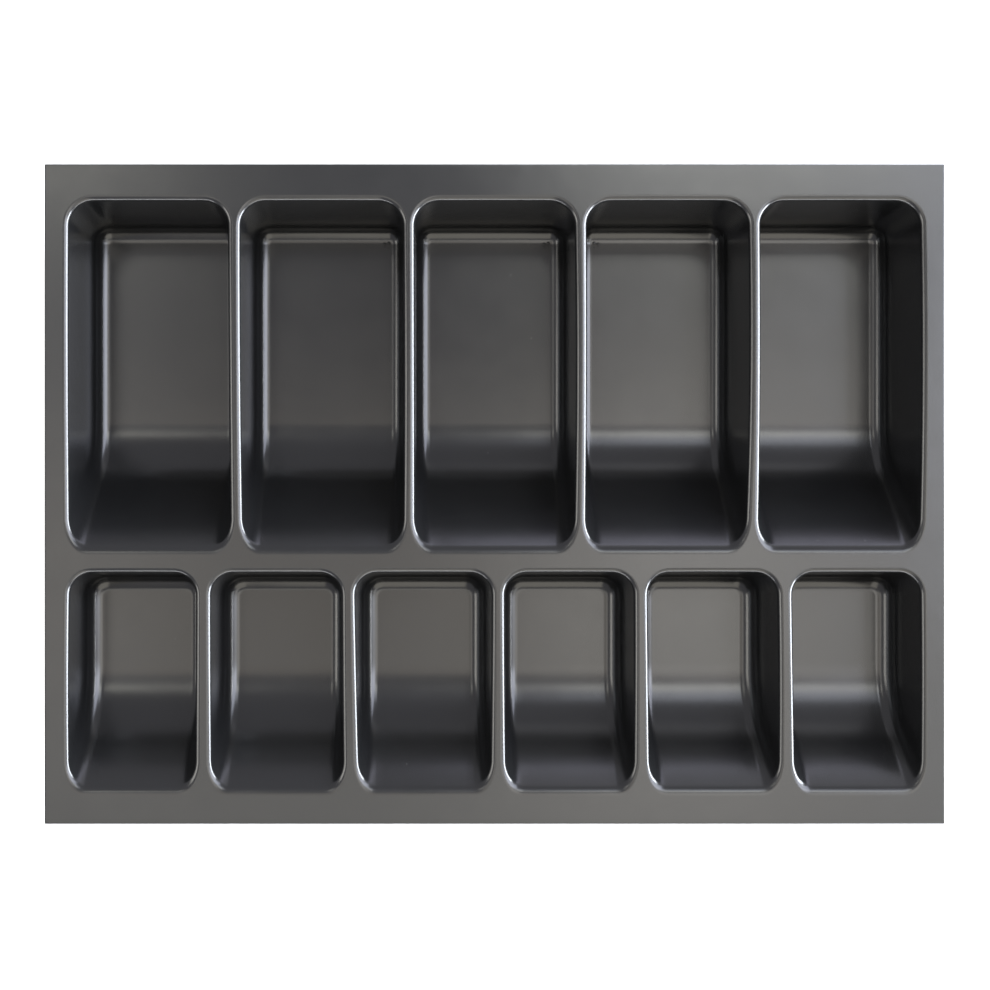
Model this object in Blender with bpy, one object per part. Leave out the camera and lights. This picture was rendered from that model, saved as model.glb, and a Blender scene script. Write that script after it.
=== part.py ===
"""A cash drawer insert: one vacuum-formed tray, with note pockets behind a row of coin pockets.

The sheet is modelled as its formed regions. The deck is the flat top with a rolled lip that turns
down into each opening. Every pocket is a shell that carries on below its lip: a flat floor, drafted
side and rear walls, and a front wall that curves up from the floor into a straight slope, so that
notes and coins slide out under a finger. All lengths are in metres, +Z is up, +Y is the rear and the
user stands at -Y.
"""

import math
from dataclasses import dataclass

import bmesh
import bpy
from mathutils import Vector

# The sheet
TRAY_WIDTH = 0.450
TRAY_LENGTH = 0.330
SHEET = 0.0018
DRAFT = math.radians(3.0)
RIM_RADIUS = 0.0027
FRONT_RIM_RADIUS = 0.0075
RAMP_TILT = math.radians(45.0)
LIP_WALL = 0.0033
SEAM_GAP = 0.0003
SIDE_MARGIN = 0.0123
REAR_MARGIN = 0.0180
FRONT_MARGIN = 0.0170
ROW_RIB = 0.0118
ROW_LENGTH_SHARES = (0.6162, 0.3838)

# The note pockets, in the rear row
NOTE_DEPTH = 0.050
NOTE_RIB = 0.0056
NOTE_RAMP_RUN = 0.069
NOTE_FILLET = 0.0055
NOTE_FRONT_FILLET = 0.0095
NOTE_FLOOR_CORNER = 0.0025
NOTE_RIM_CORNER = 0.0125
NOTE_WIDTH_SHARES = (0.1984, 0.2018, 0.1993, 0.2012, 0.1993)

# The coin pockets, in the front row
COIN_DEPTH = 0.038
COIN_RIB = 0.0068
COIN_RAMP_RUN = 0.061
COIN_FILLET = 0.0060
COIN_FRONT_FILLET = 0.0090
COIN_FLOOR_CORNER = 0.0050
COIN_RIM_CORNER = 0.0110
COIN_WIDTH_SHARES = (0.1620, 0.1673, 0.1738, 0.1650, 0.1673, 0.1646)

# How finely the curves are cut
REAR_CORNER_STEPS = 5
FRONT_CORNER_STEPS = 4
ARC_STEPS = 8
SLOPE_STEPS = 3
RIM_STEPS = 3
UNDER_RIM_STEPS = 2

# A rim is limited to this share of the rib that it rounds, which leaves the rib a narrow flat
RIB_ROUNDED_SHARE = 0.95
# The least radius under a rim, as a share of the sheet, where the sheet is thicker than the rim's radius
LEAST_UNDER_RIM_SHARE = 0.1
# The fillets up the ramp's sides grow with this power of the climb, slowly above the floor and faster at the rim
FILLET_GROWTH_POWER = 1.5
# Points nearer than this share of the sheet are one point
WELD_SHARE = 0.001

ANTHRACITE = (0.040, 0.042, 0.046, 1.0)
ROUGHNESS = 0.38


@dataclass(frozen=True)
class Pocket:
    """One pocket of a row. Its width and length are those of its opening, walls carried up to the deck."""

    name: str
    centre_x: float
    rear_y: float
    width: float
    length: float
    depth: float
    rib: float
    ramp_run: float
    fillet: float
    front_fillet: float
    floor_corner: float
    rim_corner: float


@dataclass(frozen=True)
class OutlinePoint:
    """A point of a level curve, and the level direction out of the pocket there."""

    at: Vector
    outward: Vector


@dataclass(frozen=True)
class Skin:
    """One face of a pocket's sheet, read as level curves. The rear wall meets the deck at y = 0.

    The floor runs flat to the bend, follows an arc of ramp_radius up to the ramp's tilt and goes on
    straight to the front rim. The fillet rolls along the floor's edge and on up both sides of the
    ramp, where it grows to front_fillet at the deck.
    """

    half_width: float
    rear: float
    bend: float
    floor: float
    fillet: float
    front_fillet: float
    ramp_radius: float
    wall_corner: float
    corner_growth: float

    def rear_corner(self, height, inset):
        """The right rear corner, from the rear wall to the side wall."""
        radius = self.wall_corner + self.corner_growth * height - inset
        lean = height * math.tan(DRAFT)
        centre = Vector((self.half_width + lean - inset - radius, self.rear + lean - inset - radius))
        for step in range(REAR_CORNER_STEPS + 1):
            angle = math.pi / 2 * (1 - step / REAR_CORNER_STEPS)
            outward = Vector((math.cos(angle), math.sin(angle)))
            yield OutlinePoint(centre + radius * outward, outward)

    def climbing_fillet(self, height):
        """The fillet's radius at a height: constant along the floor and growing up the ramp."""
        climbed = (height - self.fillet) / (-self.floor - self.fillet)
        growth = min(max(climbed, 0.0), 1.0) ** FILLET_GROWTH_POWER
        return self.fillet + (self.front_fillet - self.fillet) * growth

    def front_corner(self, height, highest):
        """The right front corner, where the rolling fillet climbs the ramp, from the wall to the ramp.

        The fillet's arm swings round the arc's centre to the ramp's tilt. A point that lies higher
        than its arm reaches there is on the straight slope.
        """
        wall = self.half_width + height * math.tan(DRAFT)
        fillet = self.climbing_fillet(height)
        for step in range(FRONT_CORNER_STEPS + 1):
            angle = highest * (1 - step / FRONT_CORNER_STEPS)
            arm = self.ramp_radius - fillet * (1 - math.cos(angle))
            lowered = min(max((self.ramp_radius - height) / arm, -1.0), 1.0)
            turn = min(math.acos(lowered), RAMP_TILT)
            reach = arm * math.sin(turn)
            if turn == RAMP_TILT:
                reach += (height - self.ramp_radius + arm * math.cos(RAMP_TILT)) / math.tan(RAMP_TILT)
            side = wall - fillet * (1 - math.sin(angle))
            outward = Vector((math.sin(angle), -math.sin(turn) * math.cos(angle)))
            if outward.length < WELD_SHARE:
                outward = Vector((1.0, 0.0))
            yield OutlinePoint(Vector((side, self.bend - reach)), outward.normalized())

    def outline(self, z):
        """The level curve at z, clockwise from above, with as many points at every level."""
        height = max(z - self.floor, 0.0)
        highest = math.acos(1 - min(height / self.fillet, 1.0))
        inset = self.fillet * (1 - math.sin(highest))
        right = [*self.rear_corner(height, inset), *self.front_corner(height, highest)]
        return right + [mirrored(point) for point in reversed(right)]

    def levels(self, top):
        """Heights from top down to the floor: even steps down the slope, then equal turns along the arc."""
        slope_foot = self.floor + self.ramp_radius * (1 - math.cos(RAMP_TILT))
        for step in range(SLOPE_STEPS):
            yield top + (slope_foot - top) * step / SLOPE_STEPS
        for step in reversed(range(ARC_STEPS + 1)):
            yield self.floor + self.ramp_radius * (1 - math.cos(RAMP_TILT * step / ARC_STEPS))


def mirrored(point):
    """The point on the other side of the pocket's middle line."""
    flip = Vector((-1.0, 1.0))
    return OutlinePoint(point.at * flip, point.outward * flip)


def ramp_radius(pocket):
    """The arc's radius, with which floor, arc and slope fit the ramp's run and the pocket's depth."""
    straight_run = pocket.depth / math.tan(RAMP_TILT)
    return (pocket.ramp_run - straight_run) / math.tan(RAMP_TILT / 2)


def inner_skin(pocket):
    """The face that shows, on the pocket's inside."""
    lean = pocket.depth * math.tan(DRAFT)
    wall_corner = pocket.fillet + pocket.floor_corner
    return Skin(
        half_width=pocket.width / 2 - lean,
        rear=-lean,
        bend=pocket.ramp_run - pocket.length,
        floor=-pocket.depth,
        fillet=pocket.fillet,
        front_fillet=pocket.front_fillet,
        ramp_radius=ramp_radius(pocket),
        wall_corner=wall_corner,
        corner_growth=(pocket.rim_corner - wall_corner) / pocket.depth,
    )


def outer_skin(pocket):
    """The face underneath, one sheet away from the inner one."""
    inner = inner_skin(pocket)
    shift = SHEET / math.cos(DRAFT) - SHEET * math.tan(DRAFT)
    return Skin(
        half_width=inner.half_width + shift,
        rear=inner.rear + shift,
        bend=inner.bend,
        floor=inner.floor - SHEET,
        fillet=inner.fillet + SHEET,
        front_fillet=inner.front_fillet + SHEET,
        ramp_radius=inner.ramp_radius + SHEET,
        wall_corner=inner.wall_corner + SHEET,
        corner_growth=inner.corner_growth,
    )


def seam_z():
    """Where the lips end and the pockets begin, just below the deepest rounding."""
    return -max(RIM_RADIUS, FRONT_RIM_RADIUS * (1 - math.cos(RAMP_TILT))) - LIP_WALL


def rim_radius(outward, spare, thinner):
    """The rounding's radius where the rim faces outward: larger over the ramp than on the other sides.

    The sides round no more than spare, half the rib beside them. Under the sheet the radius is
    smaller than on top by thinner.
    """
    tangent = math.tan((math.pi / 2 - DRAFT) / 2)
    side = max(RIM_RADIUS - thinner, SHEET * LEAST_UNDER_RIM_SHARE)
    side = min(side, RIB_ROUNDED_SHARE * spare / tangent)
    front = max(FRONT_RIM_RADIUS - thinner, SHEET * LEAST_UNDER_RIM_SHARE)
    frontness = max(-outward.y, 0.0) ** 2
    return side + (front - side) * frontness


def lip_loops(skin, plane, spare, thinner, steps):
    """Loops of 3-D points from the tangent of the rounding in the plane down to the seam."""
    edge = skin.outline(plane)
    foot = skin.outline(seam_z())
    loops = [[] for _ in range(steps + 1)]
    for corner, base in zip(edge, foot):
        run = (corner.at - base.at).dot(corner.outward)
        slope = math.atan2(plane - seam_z(), run)
        radius = rim_radius(corner.outward, spare, thinner)
        tangent = radius * math.tan(slope / 2)
        for step, loop in enumerate(loops):
            turn = slope * step / steps
            at = corner.at + corner.outward * (tangent - radius * math.sin(turn))
            loop.append(Vector((*at, plane - radius * (1 - math.cos(turn)))))
    return [*loops, level_loop(skin, seam_z())]


def level_loop(skin, z):
    """The skin's outline at z as 3-D points."""
    return [Vector((*point.at, z)) for point in skin.outline(z)]


def add_loop(bm, points):
    """A closed ring of edges through the points. Returns its vertices and edges."""
    verts = [bm.verts.new(point) for point in points]
    edges = [bm.edges.new((verts[i - 1], verts[i])) for i in range(len(verts))]
    return verts, edges


def loft(bm, first, loops):
    """Faces from a ring of vertices through each loop of points. Returns the last ring's vertices."""
    for points in loops:
        ring = [bm.verts.new(point) for point in points]
        for i in range(len(ring)):
            bm.faces.new((first[i - 1], first[i], ring[i], ring[i - 1]))
        first = ring
    return first


def finish(bm, name, material, location):
    """Weld, turn the faces outward and place the mesh as an object of the scene."""
    bmesh.ops.remove_doubles(bm, verts=bm.verts, dist=SHEET * WELD_SHARE)
    bmesh.ops.recalc_face_normals(bm, faces=bm.faces)
    mesh = bpy.data.meshes.new(name)
    bm.to_mesh(mesh)
    bm.free()
    mesh.shade_smooth()
    mesh.set_sharp_from_angle(angle=math.radians(35))
    mesh.materials.append(material)
    part = bpy.data.objects.new(name, mesh)
    part.location = location
    bpy.context.scene.collection.objects.link(part)
    return part


def plastic(name):
    """Dark semi-gloss sheet plastic, one material for each region."""
    material = bpy.data.materials.new(name)
    material.use_nodes = True
    shader = material.node_tree.nodes["Principled BSDF"]
    shader.inputs["Base Color"].default_value = ANTHRACITE
    shader.inputs["Roughness"].default_value = ROUGHNESS
    shader.inputs["Metallic"].default_value = 0.0
    return material


def deck_top():
    """The height of the deck's upper face. The tray stands on the undersides of its deepest floors."""
    return max(NOTE_DEPTH, COIN_DEPTH) + SHEET


def row(prefix, shares, rib, rear_y, **sizes):
    """A row of pockets from left to right, which share the width that the margins and ribs leave."""
    free_width = TRAY_WIDTH - 2 * SIDE_MARGIN - rib * (len(shares) - 1)
    left = SIDE_MARGIN - TRAY_WIDTH / 2
    pockets = []
    for number, share in enumerate(shares, start=1):
        width = free_width * share / sum(shares)
        centre_x = left + width / 2
        pockets.append(Pocket(f"{prefix}_{number}", centre_x, rear_y, width, rib=rib, **sizes))
        left += width + rib
    return pockets


def all_pockets():
    """Both rows, which share the length that the margins and the rib between them leave."""
    free_length = TRAY_LENGTH - REAR_MARGIN - ROW_RIB - FRONT_MARGIN
    note_length, coin_length = (free_length * share for share in ROW_LENGTH_SHARES)
    note_rear = TRAY_LENGTH / 2 - REAR_MARGIN
    notes = row(
        "note_pocket",
        NOTE_WIDTH_SHARES,
        NOTE_RIB,
        note_rear,
        length=note_length,
        depth=NOTE_DEPTH,
        ramp_run=NOTE_RAMP_RUN,
        fillet=NOTE_FILLET,
        front_fillet=NOTE_FRONT_FILLET,
        floor_corner=NOTE_FLOOR_CORNER,
        rim_corner=NOTE_RIM_CORNER,
    )
    coins = row(
        "coin_pocket",
        COIN_WIDTH_SHARES,
        COIN_RIB,
        note_rear - note_length - ROW_RIB,
        length=coin_length,
        depth=COIN_DEPTH,
        ramp_run=COIN_RAMP_RUN,
        fillet=COIN_FILLET,
        front_fillet=COIN_FRONT_FILLET,
        floor_corner=COIN_FLOOR_CORNER,
        rim_corner=COIN_RIM_CORNER,
    )
    return notes + coins


def build_pocket(pocket):
    """The pocket's shell: both skins lofted down from the seam, floors closed, joined round the seam."""
    bm = bmesh.new()
    top = seam_z() - SEAM_GAP
    rings = []
    for skin in (inner_skin(pocket), outer_skin(pocket)):
        verts, _ = add_loop(bm, level_loop(skin, top))
        lower = [level_loop(skin, z) for z in skin.levels(top)][1:]
        bm.faces.new(loft(bm, verts, lower))
        rings.append(verts)
    inner, outer = rings
    for i in range(len(inner)):
        bm.faces.new((inner[i - 1], inner[i], outer[i], outer[i - 1]))
    location = Vector((pocket.centre_x, pocket.rear_y, deck_top()))
    return finish(bm, pocket.name, plastic(pocket.name), location)


def deck_face(bm, plane, rims):
    """A level face of the deck, filled between the tray's outline and the rims of the openings."""
    half_x, half_y = TRAY_WIDTH / 2, TRAY_LENGTH / 2
    corners = ((-half_x, -half_y), (half_x, -half_y), (half_x, half_y), (-half_x, half_y))
    verts, edges = add_loop(bm, [Vector((x, y, plane)) for x, y in corners])
    for rim in rims:
        edges += [bm.edges.get((rim[i - 1], rim[i])) for i in range(len(rim))]
    bmesh.ops.triangle_fill(bm, use_beauty=True, edges=edges)
    return verts


def build_deck(pockets):
    """The flat sheet with a rolled lip round every opening."""
    bm = bmesh.new()
    upper_rims, lower_rims = [], []
    for pocket in pockets:
        offset = Vector((pocket.centre_x, pocket.rear_y, 0.0))
        upper = lip_loops(inner_skin(pocket), 0.0, pocket.rib / 2, 0.0, RIM_STEPS)
        spare = pocket.rib / 2 - SHEET / math.cos(DRAFT)
        lower = lip_loops(outer_skin(pocket), -SHEET, spare, SHEET, UNDER_RIM_STEPS)
        ends = []
        for loops, rims in ((upper, upper_rims), (lower, lower_rims)):
            placed = [[point + offset for point in loop] for loop in loops]
            rim, _ = add_loop(bm, placed[0])
            ends.append(loft(bm, rim, placed[1:]))
            rims.append(rim)
        inner, outer = ends
        for i in range(len(inner)):
            bm.faces.new((inner[i - 1], inner[i], outer[i], outer[i - 1]))
    top = deck_face(bm, 0.0, upper_rims)
    bottom = deck_face(bm, -SHEET, lower_rims)
    for i in range(len(top)):
        bm.faces.new((top[i - 1], top[i], bottom[i], bottom[i - 1]))
    return finish(bm, "deck", plastic("deck"), Vector((0.0, 0.0, deck_top())))


def main():
    for old in list(bpy.data.objects):
        bpy.data.objects.remove(old)
    pockets = all_pockets()
    build_deck(pockets)
    for pocket in pockets:
        build_pocket(pocket)


main()
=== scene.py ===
"""Looks of the cash drawer insert: one vacuum-formed sheet of dark plastic, seen from straight above.

The tray is dressed in the same regions as its solids: the deck with its rolled lips, five note pockets
behind and six coin pockets in front. All lengths are in metres, +X is the tray's right, +Y its rear.
"""

import logging
import math
from collections.abc import Mapping
from dataclasses import dataclass, field
from enum import Enum

import bmesh
import bpy
from mathutils import Matrix, Vector


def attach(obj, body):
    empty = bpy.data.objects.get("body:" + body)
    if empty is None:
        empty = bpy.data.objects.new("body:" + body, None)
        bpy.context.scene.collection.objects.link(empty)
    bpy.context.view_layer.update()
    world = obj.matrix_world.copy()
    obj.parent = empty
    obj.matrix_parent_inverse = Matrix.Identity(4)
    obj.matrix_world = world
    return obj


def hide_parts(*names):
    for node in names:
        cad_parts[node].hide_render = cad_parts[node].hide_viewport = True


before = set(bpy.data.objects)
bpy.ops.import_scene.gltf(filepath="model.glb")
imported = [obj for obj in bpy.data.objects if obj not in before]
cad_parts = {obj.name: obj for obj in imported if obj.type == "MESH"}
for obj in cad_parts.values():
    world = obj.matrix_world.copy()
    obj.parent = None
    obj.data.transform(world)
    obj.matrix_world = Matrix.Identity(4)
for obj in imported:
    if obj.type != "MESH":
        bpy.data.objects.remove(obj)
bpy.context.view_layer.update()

LOG = logging.getLogger("cash_drawer_insert")
# Points that are closer than this are one point.
MERGE_DISTANCE = 2e-6
# A direction that is shorter than this points nowhere.
NO_LENGTH = 1e-9


class Zone(Enum):
    """The runs of a pocket's outline, on its right half from the rear middle to the front middle."""

    REAR = "rear wall"
    REAR_CORNER = "rear corner"
    SIDE = "side wall"
    FRONT_CORNER = "front corner"
    RAMP = "ramp"


@dataclass(frozen=True)
class Station:
    """One place on a pocket's outline, where a column of points runs down the pocket.

    Attributes:
        zone: The run of the outline that it is in.
        share: How far along that run it is, from 0 to 1.
        hand: 1 on the right half and -1 on the left half.
    """

    zone: Zone
    share: float
    hand: int


@dataclass(frozen=True)
class FormedSheet:
    """The sheet that everything is formed from, and how finely its curves are cut.

    Attributes:
        thickness: The sheet.
        draft: Lean of the side and rear walls from upright.
        side_rim: Radius of the rolled rim at the sides and the rear of an opening.
        front_rim: Radius of the rolled rim over a ramp.
        ramp_tilt: Slope of the straight part of a ramp.
        rim_tilt: Slope of a ramp just below its rim, to which its top eases off.
        crown_run: Level length over which it eases off.
        bow: How far the rear walls and the ramps swell outwards in their middle.
        seam: Depth below the deck where a pocket takes over from the deck's lip.
        trim: Radius that trimming leaves on the tray's outer edges.
        rear_steps: Cuts along half the rear wall.
        rear_corner_steps: Cuts round a rear corner.
        side_steps: Cuts along a side wall.
        front_corner_steps: Cuts round a front corner.
        ramp_steps: Cuts along half the ramp.
        rim_steps: Cuts down the rolled rim.
        wall_steps: Cuts from the rim down to the seam.
        arc_steps: Cuts up the arc and the fillets.
        straight_steps: Cuts from the arc up to the seam.
        seam_parts: Cuts at the seam, as parts of a straight cut above it.
    """

    thickness: float = 0.0018
    draft: float = math.radians(2.4)
    side_rim: float = 0.0027
    front_rim: float = 0.0075
    ramp_tilt: float = math.radians(46.0)
    rim_tilt: float = math.radians(41.0)
    crown_run: float = 0.0125
    bow: float = 0.00006
    seam: float = 0.00615
    trim: float = 0.00025
    rear_steps: int = 5
    rear_corner_steps: int = 14
    side_steps: int = 10
    front_corner_steps: int = 12
    ramp_steps: int = 6
    rim_steps: int = 12
    wall_steps: int = 7
    arc_steps: int = 30
    straight_steps: int = 20
    seam_parts: tuple[float, ...] = (0.0, 0.08, 0.3)

    @property
    def crown_radius(self) -> float:
        """Radius of the slight crown at a ramp's top."""
        return self.crown_run / (math.sin(self.ramp_tilt) - math.sin(self.rim_tilt))

    @property
    def crown_rise(self) -> float:
        """Height of the crown from its foot to the deck."""
        return self.crown_radius * (math.cos(self.rim_tilt) - math.cos(self.ramp_tilt))

    def stations(self) -> list[Station]:
        """Every station of an outline, clockwise from above, from the rear middle round to it again.

        Returns:
            The stations, with the two middle ones listed once.
        """
        runs = (
            (Zone.REAR, self.rear_steps, 0),
            (Zone.REAR_CORNER, self.rear_corner_steps, 0),
            (Zone.SIDE, self.side_steps, 0),
            (Zone.FRONT_CORNER, self.front_corner_steps, 0),
            (Zone.RAMP, self.ramp_steps, 1),
        )
        right = [Station(zone, i / steps, 1) for zone, steps, last in runs for i in range(steps + last)]
        left = [Station(place.zone, place.share, -1) for place in reversed(right[1:-1])]
        return right + left


@dataclass(frozen=True)
class PocketForm:
    """The inside face of one pocket, read as columns of points. The rear wall meets the deck at y = 0.

    The floor runs flat to the bend, follows an arc and climbs straight to a slight crown below the front
    rim. A fillet rolls along the floor's edge and on up both sides of the ramp, and the corners widen from
    the floor to the rim.

    Attributes:
        name: The pocket, and the solid that it stands for.
        centre_x: Middle of the opening across the tray.
        rear_y: Where the rear wall would meet the deck.
        width: Width of the opening, walls carried up to the deck.
        length: Length of the opening, walls carried up to the deck.
        depth: From the deck down to the floor.
        rib: Width of the rib beside the pocket.
        ramp_run: Level length of the ramp.
        fillet: Radius between the floor and the walls.
        floor_corner: Upright corner radius left at the floor inside the fillet.
        rim_corner: Corner radius of the opening at the rear.
        front_corner_fillet: Radius between the side walls and the ramp at the rim.
        left_rim: How far the left rim stands to the right of true at its rear, its middle and its front.
        right_rim: The same of the right rim.
        feet: The same of the floor's left and right edges, alike all along.
        sheet: The sheet that it is formed from.
        fillet_growth: Power with which the fillet grows as it climbs the ramp.
        rib_fill: The share of a narrow rib's half that its rolled rims may take up.
        rim_tries: Rounds in which a rim's foot is found on the leaning wall.
        deck_lap: How far a lip reaches on to the flat deck.
    """

    name: str
    centre_x: float
    rear_y: float
    width: float
    length: float
    depth: float
    rib: float
    ramp_run: float
    fillet: float
    floor_corner: float
    rim_corner: float
    front_corner_fillet: float
    left_rim: tuple[float, float, float]
    right_rim: tuple[float, float, float]
    feet: tuple[float, float]
    sheet: FormedSheet
    fillet_growth: float = 1.5
    rib_fill: float = 0.95
    rim_tries: int = 4
    deck_lap: float = 0.00005

    @property
    def ramp_radius(self) -> float:
        """Radius of the arc that leads from the floor into the straight ramp."""
        sheet = self.sheet
        straight_run = (self.depth - sheet.crown_rise) / math.tan(sheet.ramp_tilt)
        return (self.ramp_run - sheet.crown_run - straight_run) / math.tan(sheet.ramp_tilt / 2)

    @property
    def bend(self) -> float:
        """Where the flat floor turns up into the ramp."""
        return self.ramp_run - self.length

    @property
    def wall_corner(self) -> float:
        """Upright corner radius of the walls at the floor."""
        return self.fillet + self.floor_corner

    def wall_x(self, height: float) -> float:
        """Half the width between the side walls at a height above the floor."""
        return self.width / 2 - (self.depth - height) * math.tan(self.sheet.draft)

    def highest_turn(self, height: float) -> float:
        """How far the fillet has turned from the floor up to the wall at a height above the floor."""
        return math.acos(1 - min(height / self.fillet, 1.0))

    def rear_corner(self, height: float, share: float) -> tuple[Vector, Vector]:
        """A point of the right rear corner.

        Args:
            height: Above the floor.
            share: From 0 at the rear wall to 1 at the side wall.

        Returns:
            The point and the level direction out of the pocket there.
        """
        inset = self.fillet * (1 - math.sin(self.highest_turn(height)))
        growth = (self.rim_corner - self.wall_corner) / self.depth
        radius = self.wall_corner + growth * height - inset
        lean = (height - self.depth) * math.tan(self.sheet.draft)
        angle = math.pi / 2 * (1 - share)
        outward = Vector((math.cos(angle), math.sin(angle)))
        centre = Vector((self.wall_x(height) - inset - radius, lean - inset - radius))
        return centre + radius * outward, outward

    def ramp_at(self, height: float, inward: float) -> tuple[float, float]:
        """Where the ramp is at a height, on its face or on a surface inward of it.

        Args:
            height: Above the floor.
            inward: Distance off the ramp's face.

        Returns:
            How far in front of the bend the surface is, and its tilt there.
        """
        sheet, arm = self.sheet, self.ramp_radius - inward
        turn = math.acos(min(max((self.ramp_radius - height) / arm, -1.0), 1.0))
        if turn < sheet.ramp_tilt:
            return arm * math.sin(turn), turn
        crown = sheet.crown_radius + inward
        centre_height = self.depth - sheet.crown_rise - sheet.crown_radius * math.cos(sheet.ramp_tilt)
        turn = math.acos(min((height - centre_height) / crown, 1.0))
        if turn < sheet.ramp_tilt:
            centre = self.ramp_run - sheet.crown_run + sheet.crown_radius * math.sin(sheet.ramp_tilt)
            return centre - crown * math.sin(turn), turn
        rise = height - self.ramp_radius + arm * math.cos(sheet.ramp_tilt)
        return arm * math.sin(sheet.ramp_tilt) + rise / math.tan(sheet.ramp_tilt), sheet.ramp_tilt

    def front_corner(self, height: float, share: float) -> tuple[Vector, Vector]:
        """A point of the right front corner, where the rolling fillet climbs the ramp.

        Args:
            height: Above the floor.
            share: From 0 at the side wall to 1 at the ramp.

        Returns:
            The point and the level direction out of the pocket there.
        """
        climbed = min(max((height - self.fillet) / (self.depth - self.fillet), 0.0), 1.0)
        fillet = self.fillet + (self.front_corner_fillet - self.fillet) * climbed**self.fillet_growth
        angle = math.acos(1 - min(height / fillet, 1.0)) * (1 - share)
        reach, turn = self.ramp_at(height, fillet * (1 - math.cos(angle)))
        side = self.wall_x(height) - fillet * (1 - math.sin(angle))
        outward = Vector((math.sin(angle), -math.sin(turn) * math.cos(angle)))
        outward = outward.normalized() if outward.length > NO_LENGTH else Vector((1.0, 0.0))
        return Vector((side, self.bend - reach)), outward

    def wall_point(self, place: Station, z: float) -> tuple[Vector, Vector]:
        """The inside face at a station and a height.

        Args:
            place: The station on the outline.
            z: Height, 0 at the deck's upper face and negative below it.

        Returns:
            The point in the pocket's own frame, and the level direction out of the pocket there.
        """
        height = max(z + self.depth, 0.0)
        if place.zone is Zone.REAR_CORNER:
            at, outward = self.rear_corner(height, place.share)
        elif place.zone is Zone.FRONT_CORNER:
            at, outward = self.front_corner(height, place.share)
        elif place.zone is Zone.SIDE:
            start, _ = self.rear_corner(height, 1.0)
            end, _ = self.front_corner(height, 0.0)
            at, outward = start.lerp(end, place.share), Vector((1.0, 0.0))
        elif place.zone is Zone.REAR:
            end, _ = self.rear_corner(height, 0.0)
            bow = self.sheet.bow * (1 - place.share**2)
            at, outward = Vector((end.x * place.share, end.y + bow)), Vector((0.0, 1.0))
        else:
            start, _ = self.front_corner(height, 1.0)
            bow = self.sheet.bow * (1 - (1 - place.share) ** 2)
            at, outward = Vector((start.x * (1 - place.share), start.y - bow)), Vector((0.0, -1.0))
        at = Vector((at.x * place.hand, at.y))
        at.x += self.lean(at, height)
        return Vector((*at, z)), Vector((outward.x * place.hand, outward.y, 0.0))

    def lean(self, at: Vector, height: float) -> float:
        """How far a point stands to the right of true, as the real sheet's walls and ribs do.

        Args:
            at: The point from above, in the pocket's own frame.
            height: Above the floor.

        Returns:
            The shift to the right.
        """
        across = min(max(at.x / self.width + 0.5, 0.0), 1.0)
        along = min(max(-at.y / self.length, 0.0), 1.0)
        parts = ((1 - along) * (1 - 2 * along), 4 * along * (1 - along), along * (2 * along - 1))
        left, right = (
            sum(part * shift for part, shift in zip(parts, rim)) for rim in (self.left_rim, self.right_rim)
        )
        climbed = height / self.depth
        left = left * climbed + self.feet[0] * (1 - climbed)
        right = right * climbed + self.feet[1] * (1 - climbed)
        return left * (1 - across) + right * across

    def rim_radius(self, outward: Vector) -> float:
        """Radius of the rolled rim where it faces outward: larger over the ramp than on the other sides."""
        frontness = max(-outward.y, 0.0) ** 2
        quarter_turn = (math.pi / 2 - self.sheet.draft) / 2
        side = min(self.sheet.side_rim, self.rib_fill * self.rib / 2 / math.tan(quarter_turn))
        return side + (self.sheet.front_rim - side) * frontness

    def up_wall(self, place: Station, z: float) -> Vector:
        """Direction up the inside face at a station and a height."""
        step = 1e-5
        high, _ = self.wall_point(place, z)
        low, _ = self.wall_point(place, z - step)
        return (high - low).normalized()

    def lip(self, place: Station) -> list[Vector]:
        """A column of the deck's lip, from the flat deck round the rim and down the wall to the seam.

        Args:
            place: The station on the outline.

        Returns:
            The points, in the pocket's own frame.
        """
        z = 0.0
        for _ in range(self.rim_tries):
            foot, outward = self.wall_point(place, z)
            up = self.up_wall(place, z)
            turn = outward.angle(up)
            reach = self.rim_radius(outward) * math.tan(turn / 2)
            z = -reach * up.z
        foot, outward = self.wall_point(place, z)
        up = self.up_wall(place, z)
        peak = foot + up * (-z / up.z)
        start = peak + outward * reach
        handle = 4 / 3 * math.tan(turn / 4) * self.rim_radius(outward)
        handles = (start - outward * handle, foot + up * handle)
        points = [start + outward * self.deck_lap]
        for step in range(self.sheet.rim_steps + 1):
            points.append(curve_point(start, *handles, foot, step / self.sheet.rim_steps))
        for step in range(1, self.sheet.wall_steps + 1):
            share = math.sin(math.pi / 2 * step / self.sheet.wall_steps)
            points.append(self.wall_point(place, z - (self.sheet.seam + z) * share)[0])
        return points

    def shell_heights(self) -> list[float]:
        """Heights of a pocket's level curves from the seam down to the floor.

        Returns:
            The heights, closer together at the seam, so that the shading runs on through it.
        """
        sheet, floor, radius = self.sheet, -self.depth, self.ramp_radius
        turns = [sheet.ramp_tilt * step / sheet.arc_steps for step in range(sheet.arc_steps + 1)]
        heights = [floor + radius * (1 - math.cos(turn)) for turn in turns]
        straight = (-sheet.seam - heights[-1]) / sheet.straight_steps
        heights += [heights[-1] + straight * step for step in range(1, sheet.straight_steps)]
        heights += [-sheet.seam - straight * part for part in sheet.seam_parts]
        return sorted(heights, reverse=True)

    def placed(self, point: Vector, deck_z: float) -> Vector:
        """A point of the pocket's own frame, in the tray's frame."""
        return point + Vector((self.centre_x, self.rear_y, deck_z))


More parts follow.
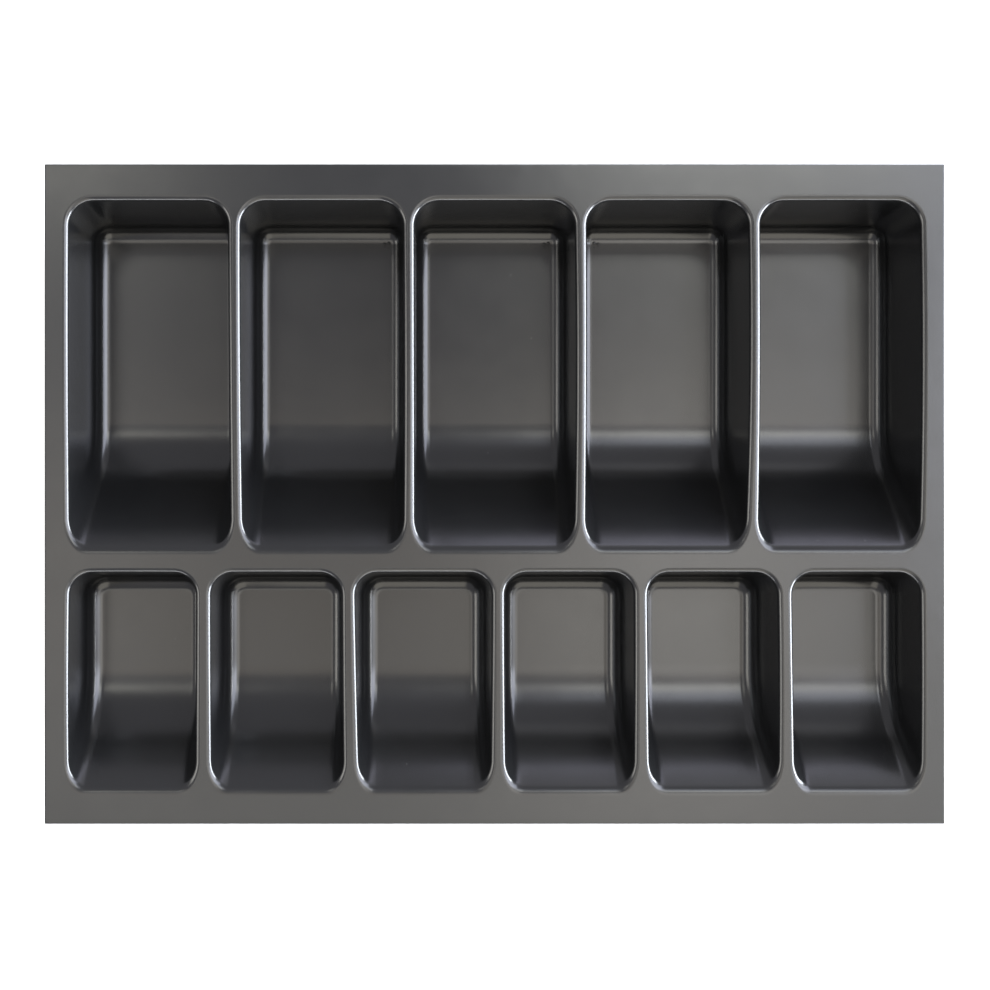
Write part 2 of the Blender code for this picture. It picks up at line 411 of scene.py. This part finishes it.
def curve_point(start: Vector, first: Vector, second: Vector, end: Vector, share: float) -> Vector:
    """A point of a cubic curve.

    Args:
        start: Where the curve begins.
        first: Its first handle.
        second: Its second handle.
        end: Where it ends.
        share: How far along, from 0 to 1.

    Returns:
        The point.
    """
    left = 1 - share
    return left**3 * start + 3 * left**2 * share * first + 3 * left * share**2 * second + share**3 * end


def link_mesh(name: str, mesh: bmesh.types.BMesh, material: bpy.types.Material) -> bpy.types.Object:
    """Makes a bmesh an object of the scene, at the origin, with its place in its mesh.

    Args:
        name: The object's name.
        mesh: Its shape, which is freed.
        material: Its finish.

    Returns:
        The object.
    """
    data = bpy.data.meshes.new(name)
    mesh.to_mesh(data)
    mesh.free()
    data.materials.append(material)
    made = bpy.data.objects.new(name, data)
    bpy.context.scene.collection.objects.link(made)
    return made


@dataclass
class Former:
    """Pulls one region of the sheet out of a ring of edges, as a bmesh.

    Attributes:
        thickness: The sheet's, added away from the face that shows.
        mesh: The region so far.
        floor_inset: Width of the level band just inside a floor's edge.
        level_within: Heights that are closer than this are the same.
        sharp_angle: Edges that turn by more than this are shaded as sharp.
    """

    thickness: float
    mesh: bmesh.types.BMesh = field(default_factory=bmesh.new)
    floor_inset: float = 0.0004
    level_within: float = 1e-7
    sharp_angle: float = math.radians(40)

    def ring(self, points: list[Vector]) -> list[bmesh.types.BMEdge]:
        """A closed ring of edges, whose vertices remember their place in it.

        Args:
            points: The ring's corners.

        Returns:
            The ring's edges.
        """
        place = self.mesh.verts.layers.int.get("place") or self.mesh.verts.layers.int.new("place")
        made = bmesh.ops.create_circle(self.mesh, cap_ends=False, radius=1.0, segments=len(points))
        for index, (vert, point) in enumerate(zip(made["verts"], points)):
            vert.co = point
            vert[place] = index
        return list({edge for vert in made["verts"] for edge in vert.link_edges})

    def pull(self, edges: list[bmesh.types.BMEdge], points: list[Vector]) -> list[bmesh.types.BMEdge]:
        """Extrudes a ring of edges on to new places.

        Args:
            edges: The ring so far.
            points: The next ring's corners, in the same order.

        Returns:
            The next ring's edges.
        """
        place = self.mesh.verts.layers.int.get("place")
        made = bmesh.ops.extrude_edge_only(self.mesh, edges=edges)["geom"]
        for vert in (item for item in made if isinstance(item, bmesh.types.BMVert)):
            vert.co = points[vert[place]]
        return [item for item in made if isinstance(item, bmesh.types.BMEdge) and len(item.link_faces) == 1]

    def close_floor(self) -> None:
        """Merges the lowest ring and fills it with a level face, inset once so that it shades as flat."""
        bmesh.ops.remove_doubles(self.mesh, verts=self.mesh.verts[:], dist=MERGE_DISTANCE)
        lowest = min(vert.co.z for vert in self.mesh.verts)
        rim = [
            edge
            for edge in self.mesh.edges
            if len(edge.link_faces) == 1 and all(vert.co.z - lowest < self.level_within for vert in edge.verts)
        ]
        floor = bmesh.ops.edgeloop_fill(self.mesh, edges=rim)["faces"]
        bmesh.ops.inset_region(self.mesh, faces=floor, thickness=self.floor_inset, use_even_offset=True)

    def face_up(self) -> None:
        """Merges doubles and turns the faces so that the level ones face up."""
        bmesh.ops.remove_doubles(self.mesh, verts=self.mesh.verts[:], dist=MERGE_DISTANCE)
        bmesh.ops.recalc_face_normals(self.mesh, faces=self.mesh.faces[:])
        level = max(self.mesh.faces, key=lambda face: abs(face.normal.z) * face.calc_area())
        if level.normal.z < 0:
            bmesh.ops.reverse_faces(self.mesh, faces=self.mesh.faces[:])

    def thicken(self) -> None:
        """Gives the sheet its thickness, away from the face that shows."""
        bmesh.ops.solidify(self.mesh, geom=self.mesh.faces[:], thickness=self.thickness)

    def finish(self, name: str, material: bpy.types.Material) -> bpy.types.Object:
        """Makes the region a piece of the scene, shaded smooth up to its sharp edges.

        Args:
            name: The piece's name.
            material: Its finish.

        Returns:
            The piece.
        """
        piece = link_mesh(name, self.mesh, material)
        piece.data.shade_smooth()
        piece.data.set_sharp_from_angle(angle=self.sharp_angle)
        return piece


@dataclass(frozen=True)
class TrayPlastic:
    """Semi-gloss anthracite sheet, as vacuum forming leaves it.

    The skin carries a slow waviness, a fine orange peel, a slight change of gloss and a few specks.

    Attributes:
        colour: The plastic's own colour.
        roughness: Its gloss.
        refraction: Its index of refraction.
        wave_size: Length of the slow waviness.
        wave_height: Height of the slow waviness.
        peel_size: Size of the orange peel's cells.
        peel_height: Height of the orange peel.
        gloss_size: Size of the patches that differ in gloss.
        gloss_change: By how much of itself the gloss changes.
        speck_colour: Colour of the specks.
        speck_spacing: Width of the cells that can have a speck.
        speck_from: The part of the cells that have none.
        speck_reach: Radius of the largest speck, as a part of a cell.
    """

    colour: tuple[float, float, float] = (0.0060, 0.0062, 0.0066)
    roughness: float = 0.22
    refraction: float = 1.57
    wave_size: float = 0.030
    wave_height: float = 0.00010
    peel_size: float = 0.0022
    peel_height: float = 0.000004
    gloss_size: float = 0.018
    gloss_change: float = 0.15
    speck_colour: tuple[float, float, float] = (0.16, 0.16, 0.155)
    speck_spacing: float = 0.011
    speck_from: float = 0.55
    speck_reach: float = 0.022

    def material(self) -> bpy.types.Material:
        """The finish as nodes on Object coordinates.

        Returns:
            The material.
        """
        made = bpy.data.materials.new("tray_plastic")
        made.use_nodes = True
        nodes, links = made.node_tree.nodes, made.node_tree.links
        shader = nodes["Principled BSDF"]
        shader.inputs["IOR"].default_value = self.refraction
        place = nodes.new("ShaderNodeTexCoord").outputs["Object"]

        waves, peel = (self.wave_size, self.wave_height, 2.0), (self.peel_size, self.peel_height, 1.0)
        skin: bpy.types.NodeSocket | None = None
        for size, height, detail in (waves, peel):
            bump = nodes.new("ShaderNodeBump")
            bump.inputs["Strength"].default_value = 1.0
            bump.inputs["Distance"].default_value = height
            links.new(self.noise(nodes, links, place, size, detail), bump.inputs["Height"])
            if skin is not None:
                links.new(skin, bump.inputs["Normal"])
            skin = bump.outputs["Normal"]
        links.new(skin, shader.inputs["Normal"])

        gloss = nodes.new("ShaderNodeMapRange")
        gloss.inputs["To Min"].default_value = self.roughness * (1 - self.gloss_change)
        gloss.inputs["To Max"].default_value = self.roughness * (1 + self.gloss_change)
        links.new(self.noise(nodes, links, place, self.gloss_size, 3.0), gloss.inputs["Value"])
        links.new(gloss.outputs["Result"], shader.inputs["Roughness"])

        tint = nodes.new("ShaderNodeMix")
        tint.data_type = "RGBA"
        tint.inputs["A"].default_value = (*self.colour, 1.0)
        tint.inputs["B"].default_value = (*self.speck_colour, 1.0)
        links.new(self.specks(nodes, links, place), tint.inputs["Factor"])
        links.new(tint.outputs["Result"], shader.inputs["Base Color"])
        return made

    def noise(
        self,
        nodes: bpy.types.Nodes,
        links: bpy.types.NodeLinks,
        place: bpy.types.NodeSocket,
        size: float,
        detail: float,
    ) -> bpy.types.NodeSocket:
        """A noise over the sheet.

        Args:
            nodes: The material's nodes.
            links: The material's links.
            place: Object coordinates.
            size: Length over which it changes.
            detail: Octaves.

        Returns:
            The noise's value.
        """
        noise = nodes.new("ShaderNodeTexNoise")
        noise.inputs["Scale"].default_value = 1 / size
        noise.inputs["Detail"].default_value = detail
        links.new(place, noise.inputs["Vector"])
        return noise.outputs["Fac"]

    def specks(
        self, nodes: bpy.types.Nodes, links: bpy.types.NodeLinks, place: bpy.types.NodeSocket
    ) -> bpy.types.NodeSocket:
        """Sparse specks of dust, most cells of the pattern having none.

        Args:
            nodes: The material's nodes.
            links: The material's links.
            place: Object coordinates.

        Returns:
            1 on a speck and 0 elsewhere.
        """
        cells = nodes.new("ShaderNodeTexVoronoi")
        cells.inputs["Scale"].default_value = 1 / self.speck_spacing
        links.new(place, cells.inputs["Vector"])
        apart = nodes.new("ShaderNodeSeparateColor")
        links.new(cells.outputs["Color"], apart.inputs["Color"])
        size = nodes.new("ShaderNodeMapRange")
        size.inputs["From Min"].default_value = self.speck_from
        size.inputs["To Max"].default_value = self.speck_reach
        links.new(apart.outputs["Red"], size.inputs["Value"])
        inside = nodes.new("ShaderNodeMath")
        inside.operation = "LESS_THAN"
        links.new(cells.outputs["Distance"], inside.inputs[0])
        links.new(size.outputs["Result"], inside.inputs[1])
        return inside.outputs["Value"]


@dataclass(frozen=True)
class PocketShell:
    """One pocket below its lip: flat floor, drafted walls and the ramp.

    Attributes:
        form: The pocket's inside face.
        deck_z: Height of the deck's upper face.
    """

    form: PocketForm
    deck_z: float

    def build(self, material: bpy.types.Material) -> bpy.types.Object:
        """Pulls the shell down from the seam, closes its floor and dresses it.

        Args:
            material: The tray's finish.

        Returns:
            The piece.
        """
        sheet = self.form.sheet
        stations = sheet.stations()
        former = Former(sheet.thickness)
        edges: list[bmesh.types.BMEdge] = []
        for z in self.form.shell_heights():
            points = [self.form.placed(self.form.wall_point(place, z)[0], self.deck_z) for place in stations]
            edges = former.pull(edges, points) if edges else former.ring(points)
        former.close_floor()
        former.face_up()
        former.thicken()
        return former.finish(f"{self.form.name}_shell", material)


@dataclass(frozen=True)
class VentPips:
    """The pips that the mould's vent holes leave on a pocket's floor, close to a rear corner.

    Attributes:
        form: The pocket's inside face.
        deck_z: Height of the deck's upper face.
        hands: The corners that have pips: 1 for the right one and -1 for the left one.
        rise: A pip's height as a share of its radius.
        places: Each pip's place, level, inward from the floor's corner, and its radius.
    """

    form: PocketForm
    deck_z: float
    hands: tuple[int, ...]
    rise: float = 0.6
    places: tuple[tuple[float, float, float], ...] = (
        (0.0009, -0.0006, 0.0009),
        (0.0031, -0.0001, 0.0009),
        (0.0010, 0.0018, 0.0004),
        (0.0031, 0.0015, 0.0004),
    )

    def build(self, material: bpy.types.Material) -> bpy.types.Object:
        """Sets the pips, each a flat dome sunk half into the floor.

        Args:
            material: The tray's finish.

        Returns:
            The piece.
        """
        mesh = bmesh.new()
        for hand in self.hands:
            corner, _ = self.form.wall_point(Station(Zone.REAR_CORNER, 0.5, hand), -self.form.depth)
            for across, along, radius in self.places:
                size = Matrix.Diagonal((radius, radius, self.rise * radius, 1.0))
                foot = self.form.placed(corner - Vector((hand * across, along, 0.0)), self.deck_z)
                place = Matrix.Translation(foot) @ size
                bmesh.ops.create_icosphere(mesh, subdivisions=2, radius=1.0, matrix=place)
        piece = link_mesh(f"{self.form.name}_pips", mesh, material)
        piece.data.shade_smooth()
        return piece


@dataclass(frozen=True)
class Deck:
    """The flat top of the sheet, with a lip rolled down into every opening.

    Attributes:
        width: Across the tray.
        length: Front to rear.
        forms: The pockets that it opens into.
        deck_z: Height of its upper face.
        sheet: The sheet that it is formed from.
        band: Width of the flat band inside the outline, in trimming radii.
        outline_within: A vertex that is closer than this to the outline is on it.
        cut_angle: Edges of the outline that turn by more than this are cut edges.
    """

    width: float
    length: float
    forms: list[PocketForm]
    deck_z: float
    sheet: FormedSheet
    band: float = 3.0
    outline_within: float = 1e-5
    cut_angle: float = math.radians(60)

    def build(self, material: bpy.types.Material) -> bpy.types.Object:
        """Rolls the lips, fills the flat between them and the outline, and trims the edge.

        Args:
            material: The tray's finish.

        Returns:
            The piece.
        """
        former = Former(self.sheet.thickness)
        border = self.outline(former)
        for form in self.forms:
            columns = [form.lip(place) for place in self.sheet.stations()]
            rings = [[form.placed(point, self.deck_z) for point in ring] for ring in zip(*columns)]
            edges = former.ring(rings[0])
            border += edges
            for points in rings[1:]:
                edges = former.pull(edges, points)
        bmesh.ops.triangle_fill(former.mesh, use_beauty=True, edges=border)
        former.face_up()
        former.thicken()
        self.trim_edges(former)
        return former.finish("deck_sheet", material)

    def outline(self, former: Former) -> list[bmesh.types.BMEdge]:
        """The tray's outline at the deck's upper face, with a flat band inside it.

        Args:
            former: The sheet being formed.

        Returns:
            The four edges inside the band.
        """

        def corners(inset: float) -> list[Vector]:
            """The rectangle's corners, brought in by an inset."""
            x, y = self.width / 2 - inset, self.length / 2 - inset
            return [Vector((*at, self.deck_z)) for at in ((-x, -y), (x, -y), (x, y), (-x, y))]

        return former.pull(former.ring(corners(0.0)), corners(self.band * self.sheet.trim))

    def trim_edges(self, former: Former) -> None:
        """Takes the sharpness off the sheet's cut edges.

        Args:
            former: The sheet being formed.
        """

        def at_edge(vert: bmesh.types.BMVert) -> bool:
            """Whether the vertex is on the tray's outline."""
            off_side, off_end = abs(vert.co.x) - self.width / 2, abs(vert.co.y) - self.length / 2
            return min(abs(off_side), abs(off_end)) < self.outline_within

        cut = [
            edge
            for edge in former.mesh.edges
            if all(at_edge(vert) for vert in edge.verts) and edge.calc_face_angle(0.0) > self.cut_angle
        ]
        bmesh.ops.bevel(
            former.mesh,
            geom=cut,
            offset=self.sheet.trim,
            offset_type="OFFSET",
            affect="EDGES",
            segments=2,
            profile=0.5,
            material=-1,
        )


@dataclass(frozen=True)
class CashTray:
    """The whole insert: both rows of pockets set out across the deck.

    Attributes:
        width: Across the tray.
        length: Front to rear.
        side_margin: From the tray's side to the nearest opening.
        rear_margin: From the tray's rear to the note openings.
        front_margin: From the tray's front to the coin openings.
        row_rib: Between the rows.
        note_depth: From the deck down to the note pockets' floors.
        coin_depth: From the deck down to the coin pockets' floors.
        row_lengths: The rows' shares of the free length, the notes first.
        note_widths: The note pockets' shares of the free width, left to right.
        coin_widths: The coin pockets' shares of it.
        note_rims: How the note pockets' left and right rims stand off true, in order.
        coin_rims: The same of the coin pockets.
        note_feet: How the note pockets' floor edges stand off true.
        coin_feet: The same of the coin pockets.
        vents: The note pockets with vent pips, and the rear corners that have them.
        sheet: The sheet that it is formed from.
    """

    width: float = 0.450
    length: float = 0.330
    side_margin: float = 0.0123
    rear_margin: float = 0.0180
    front_margin: float = 0.0170
    row_rib: float = 0.0118
    note_depth: float = 0.050
    coin_depth: float = 0.038
    row_lengths: tuple[float, float] = (0.6162, 0.3838)
    note_widths: tuple[float, ...] = (0.1984, 0.2018, 0.1993, 0.2012, 0.1993)
    coin_widths: tuple[float, ...] = (0.1620, 0.1673, 0.1738, 0.1650, 0.1673, 0.1646)
    note_rims: tuple[tuple[float, float, float], ...] = (
        (-0.0006, -0.0008, -0.0003),
        (-0.0009, -0.0003, 0.0009),
        (-0.0001, 0.0001, 0.0012),
        (-0.0002, 0.0004, 0.0002),
        (0.0003, 0.0004, 0.0003),
        (-0.0001, 0.0008, -0.0002),
        (0.0006, 0.0007, -0.0002),
        (0.0004, 0.0012, -0.0012),
        (0.0008, 0.0011, -0.0004),
        (0.0007, 0.0016, 0.0003),
    )
    coin_rims: tuple[tuple[float, float, float], ...] = (
        (0.0001, -0.0006, -0.0004),
        (-0.0003, -0.0004, -0.0004),
        (0.0004, 0.0005, 0.0007),
        (0.0003, 0.0007, 0.0016),
        (0.0003, 0.0013, 0.0025),
        (0.0010, 0.0008, 0.0004),
        (0.0007, 0.0008, 0.0011),
        (0.0008, 0.0010, 0.0008),
        (0.0008, 0.0013, 0.0017),
        (0.0005, 0.0013, 0.0011),
        (0.0009, 0.0016, 0.0022),
        (0.0008, 0.0013, 0.0011),
    )
    note_feet: tuple[tuple[float, float], ...] = (
        (0.0, 0.0),
        (0.0, 0.0012),
        (-0.0013, 0.0012),
        (0.0, -0.0004),
        (0.0, -0.0004),
    )
    coin_feet: tuple[tuple[float, float], ...] = (
        (-0.0010, 0.0),
        (0.0008, 0.0012),
        (0.0014, -0.0006),
        (0.0, -0.0007),
        (0.0006, -0.0018),
        (0.0011, -0.0006),
    )
    vents: Mapping[str, tuple[int, ...]] = field(
        default_factory=lambda: {"note_pocket_2": (1,), "note_pocket_3": (1,), "note_pocket_4": (-1,)}
    )
    sheet: FormedSheet = FormedSheet()

    @property
    def deck_z(self) -> float:
        """Height of the deck's upper face, the tray standing on its note pockets."""
        return self.note_depth + self.sheet.thickness

    def row(
        self,
        prefix: str,
        shares: tuple[float, ...],
        rims: tuple[tuple[float, float, float], ...],
        feet: tuple[tuple[float, float], ...],
        **sizes: float,
    ) -> list[PocketForm]:
        """A row of pockets from left to right, which share the width that margins and ribs leave.

        Args:
            prefix: The pockets' name.
            shares: Their parts of the width.
            rims: How each one's left and right rims stand, in order.
            feet: How each one's floor stands.
            **sizes: What all of them have alike.

        Returns:
            The pockets.
        """
        free = self.width - 2 * self.side_margin - sizes["rib"] * (len(shares) - 1)
        left = self.side_margin - self.width / 2
        forms = []
        sides = zip(shares, rims[::2], rims[1::2], feet)
        for number, (share, left_rim, right_rim, foot) in enumerate(sides, start=1):
            width = free * share / sum(shares)
            forms.append(
                PocketForm(
                    name=f"{prefix}_{number}",
                    centre_x=left + width / 2,
                    width=width,
                    left_rim=left_rim,
                    right_rim=right_rim,
                    feet=foot,
                    sheet=self.sheet,
                    **sizes,
                )
            )
            left += width + sizes["rib"]
        return forms

    def pockets(self) -> list[PocketForm]:
        """Both rows of pockets, the notes first.

        Returns:
            The pockets.
        """
        free = self.length - self.rear_margin - self.row_rib - self.front_margin
        note_length, coin_length = (free * share for share in self.row_lengths)
        note_rear = self.length / 2 - self.rear_margin
        notes = self.row(
            "note_pocket",
            self.note_widths,
            self.note_rims,
            self.note_feet,
            rear_y=note_rear,
            length=note_length,
            depth=self.note_depth,
            rib=0.0056,
            ramp_run=0.069,
            fillet=0.0068,
            floor_corner=0.0008,
            rim_corner=0.0125,
            front_corner_fillet=0.0095,
        )
        coins = self.row(
            "coin_pocket",
            self.coin_widths,
            self.coin_rims,
            self.coin_feet,
            rear_y=note_rear - note_length - self.row_rib,
            length=coin_length,
            depth=self.coin_depth,
            rib=0.0068,
            ramp_run=0.061,
            fillet=0.0077,
            floor_corner=0.0032,
            rim_corner=0.0110,
            front_corner_fillet=0.0090,
        )
        return notes + coins

    def build(self, plastic: TrayPlastic) -> None:
        """Builds and dresses every region of the sheet.

        Args:
            plastic: The tray's finish.
        """
        material = plastic.material()
        forms = self.pockets()
        deck = Deck(self.width, self.length, forms, self.deck_z, self.sheet)
        pieces = {"deck": deck.build(material)}
        pieces.update({form.name: PocketShell(form, self.deck_z).build(material) for form in forms})
        for solid, piece in pieces.items():
            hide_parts(solid)
        pips = [VentPips(form, self.deck_z, self.vents[form.name]) for form in forms if form.name in self.vents]
        for piece in (*pieces.values(), *(group.build(material) for group in pips)):
            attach(piece, "root")
            LOG.info("%s: %d faces", piece.name, len(piece.data.polygons))


class Facing(Enum):
    """The way that a lamp faces, square to the side of the room where it hangs."""

    DOWN = (0.0, 0.0, -1.0)
    LEFT = (-1.0, 0.0, 0.0)
    RIGHT = (1.0, 0.0, 0.0)
    BACK = (0.0, 1.0, 0.0)
    FORWARD = (0.0, -1.0, 0.0)


@dataclass(frozen=True)
class SoftBox:
    """A soft studio lamp.

    Attributes:
        name: The lamp.
        facing: The way that it faces.
        centre: Where it hangs.
        size: Its width and height.
        radiance: How bright its face is, where 1 is white.
        colour: Its tint.
    """

    name: str
    facing: Facing
    centre: tuple[float, float, float]
    size: tuple[float, float]
    radiance: float
    colour: tuple[float, float, float]

    def hang(self) -> None:
        """Adds the lamp to the scene."""
        data = bpy.data.lights.new(self.name, "AREA")
        data.shape = "RECTANGLE"
        data.size, data.size_y = self.size
        data.energy = self.radiance * math.pi * self.size[0] * self.size[1]
        data.color = self.colour
        lamp = bpy.data.objects.new(self.name, data)
        lamp.location = self.centre
        lamp.rotation_euler = Vector(self.facing.value).to_track_quat("-Z", "Y").to_euler()
        bpy.context.scene.collection.objects.link(lamp)


@dataclass(frozen=True)
class Studio:
    """The plain pale floor, the lamps, the world and the camera over the tray.

    Attributes:
        camera_height: Lens above the deck.
        camera_foot: Where the lens stands over the tray.
        frame_width: Width of deck that fills the picture.
        frame_centre: Middle of the picture on the deck.
        world_colour: The room's own light.
        floor_reach: From the floor's middle to its sides.
        floor_drop: How far the floor lies below the tray, so that the two don't meet.
        floor_colour: Colour of the floor's paper.
        floor_lift: How much brighter the floor is where the camera sees it.
        lamps: The soft boxes and the cards round the room.
    """

    camera_height: float = 0.653
    camera_foot: tuple[float, float] = (-0.02825, -0.0450)
    frame_width: float = 0.495
    frame_centre: tuple[float, float] = (0.00025, -0.0005)
    world_colour: tuple[float, float, float] = (0.597, 0.593, 0.642)
    floor_reach: float = 3.0
    floor_drop: float = 0.0002
    floor_colour: tuple[float, float, float] = (0.80, 0.80, 0.80)
    floor_lift: float = 0.35
    lamps: tuple[SoftBox, ...] = (
        SoftBox("overhead_right", Facing.DOWN, (1.375, -0.2, 5.0), (1.45, 2.6), 2.45, (1.0, 0.955, 0.86)),
        SoftBox("overhead_centre", Facing.DOWN, (0.75, -0.3, 4.95), (1.3, 2.1), 0.8, (1.0, 0.975, 0.92)),
        SoftBox("overhead_strip", Facing.DOWN, (0.95, 0.05, 4.9), (1.2, 0.8), 0.7, (1.0, 0.985, 0.95)),
        SoftBox("overhead_far_right", Facing.DOWN, (3.38, -0.4, 5.0), (2.25, 5.4), 2.8, (1.0, 1.0, 0.955)),
        SoftBox("overhead_front", Facing.DOWN, (-0.83, -1.1, 5.0), (2.95, 0.8), 1.93, (1.0, 0.969, 0.859)),
        SoftBox("overhead_middle", Facing.DOWN, (-0.83, 0.03, 5.0), (2.95, 1.25), 1.19, (1.0, 0.897, 0.734)),
        SoftBox("overhead_side", Facing.DOWN, (-1.72, 0.35, 4.9), (1.08, 2.2), 1.0, (1.0, 0.98, 0.93)),
        SoftBox("overhead_rear", Facing.DOWN, (1.45, 2.9, 5.0), (1.6, 1.2), 3.79, (0.828, 0.886, 1.0)),
        SoftBox("overhead_spot", Facing.DOWN, (1.3, 1.95, 5.0), (1.6, 0.7), 7.2, (0.991, 1.0, 0.935)),
        SoftBox("overhead_left", Facing.DOWN, (-1.75, 1.95, 5.0), (1.1, 0.7), 4.53, (1.0, 0.988, 0.883)),
        SoftBox("window", Facing.LEFT, (5.0, 0.0, 1.25), (5.0, 2.5), 29.63, (0.87, 0.923, 1.0)),
        SoftBox("window_head", Facing.LEFT, (4.9, 0.0, 3.1), (4.9, 0.4), 21.0, (0.95, 0.98, 1.0)),
        SoftBox("window_high", Facing.LEFT, (5.0, 2.9, 7.12), (5.8, 7.75), 6.44, (0.789, 0.834, 1.0)),
        SoftBox("left_card", Facing.RIGHT, (-5.0, 0.0, 3.25), (3.0, 3.5), 5.1, (1.0, 0.979, 0.907)),
        SoftBox("front_card", Facing.BACK, (2.03, -5.0, 5.0), (5.95, 7.5), 1.78, (1.0, 0.938, 0.773)),
        SoftBox("front_horizon", Facing.BACK, (1.5, -5.0, 0.62), (13.0, 1.25), 7.96, (0.969, 0.983, 1.0)),
        SoftBox("rear_horizon", Facing.FORWARD, (2.5, 5.0, 0.54), (5.0, 0.72), 2.12, (0.774, 0.779, 1.0)),
        SoftBox("rear_card", Facing.FORWARD, (2.4, 5.1, 1.6), (4.4, 2.2), 0.4, (0.97, 0.98, 1.0)),
    )

    def place_camera(self, deck_z: float) -> None:
        """Hangs a camera that looks straight down, its view shifted sideways on to the tray.

        Args:
            deck_z: Height of the deck's upper face.
        """
        data = bpy.data.cameras.new("over_tray")
        data.sensor_width = 36.0
        data.lens = data.sensor_width * self.camera_height / self.frame_width
        data.shift_x = (self.frame_centre[0] - self.camera_foot[0]) / self.frame_width
        data.shift_y = (self.frame_centre[1] - self.camera_foot[1]) / self.frame_width
        camera = bpy.data.objects.new("over_tray", data)
        camera.location = (*self.camera_foot, deck_z + self.camera_height)
        bpy.context.scene.collection.objects.link(camera)
        bpy.context.scene.camera = camera

    def lay_floor(self) -> None:
        """Lays a wide pale floor just under the tray, which reads as white and keeps the tray's shadow."""
        mesh = bmesh.new()
        bmesh.ops.create_grid(mesh, x_segments=1, y_segments=1, size=self.floor_reach)
        bmesh.ops.translate(mesh, verts=mesh.verts[:], vec=(0.0, 0.0, -self.floor_drop))
        link_mesh("floor", mesh, self.floor_material())

    def floor_material(self) -> bpy.types.Material:
        """Pale matt paper, lifted to white only where the camera sees it.

        Returns:
            The material.
        """
        made = bpy.data.materials.new("pale_floor")
        made.use_nodes = True
        nodes, links = made.node_tree.nodes, made.node_tree.links
        shader = nodes["Principled BSDF"]
        shader.inputs["Base Color"].default_value = (*self.floor_colour, 1.0)
        shader.inputs["Roughness"].default_value = 0.9
        shader.inputs["Emission Color"].default_value = (1.0, 1.0, 1.0, 1.0)
        seen = nodes.new("ShaderNodeLightPath")
        lift = nodes.new("ShaderNodeMath")
        lift.operation = "MULTIPLY"
        lift.inputs[1].default_value = self.floor_lift
        links.new(seen.outputs["Is Camera Ray"], lift.inputs[0])
        links.new(lift.outputs["Value"], shader.inputs["Emission Strength"])
        return made

    def set_world(self) -> None:
        """Fills the room with an even light."""
        world = bpy.data.worlds.new("room")
        world.use_nodes = True
        sky = world.node_tree.nodes["Background"]
        sky.inputs["Color"].default_value = (*self.world_colour, 1.0)
        sky.inputs["Strength"].default_value = 1.0
        bpy.context.scene.world = world

    def build(self, deck_z: float) -> None:
        """Sets up everything round the tray.

        Args:
            deck_z: Height of the deck's upper face.
        """
        self.place_camera(deck_z)
        self.lay_floor()
        self.set_world()
        for lamp in self.lamps:
            lamp.hang()
        bpy.context.scene.view_settings.view_transform = "Standard"
        LOG.info("studio: %d lamps", len(self.lamps))


def main() -> None:
    """Builds the tray and the studio round it."""
    logging.basicConfig(level=logging.INFO, format="%(name)s: %(message)s")
    tray = CashTray()
    tray.build(TrayPlastic())
    Studio().build(tray.deck_z)


if __name__ == "__main__":
    main()
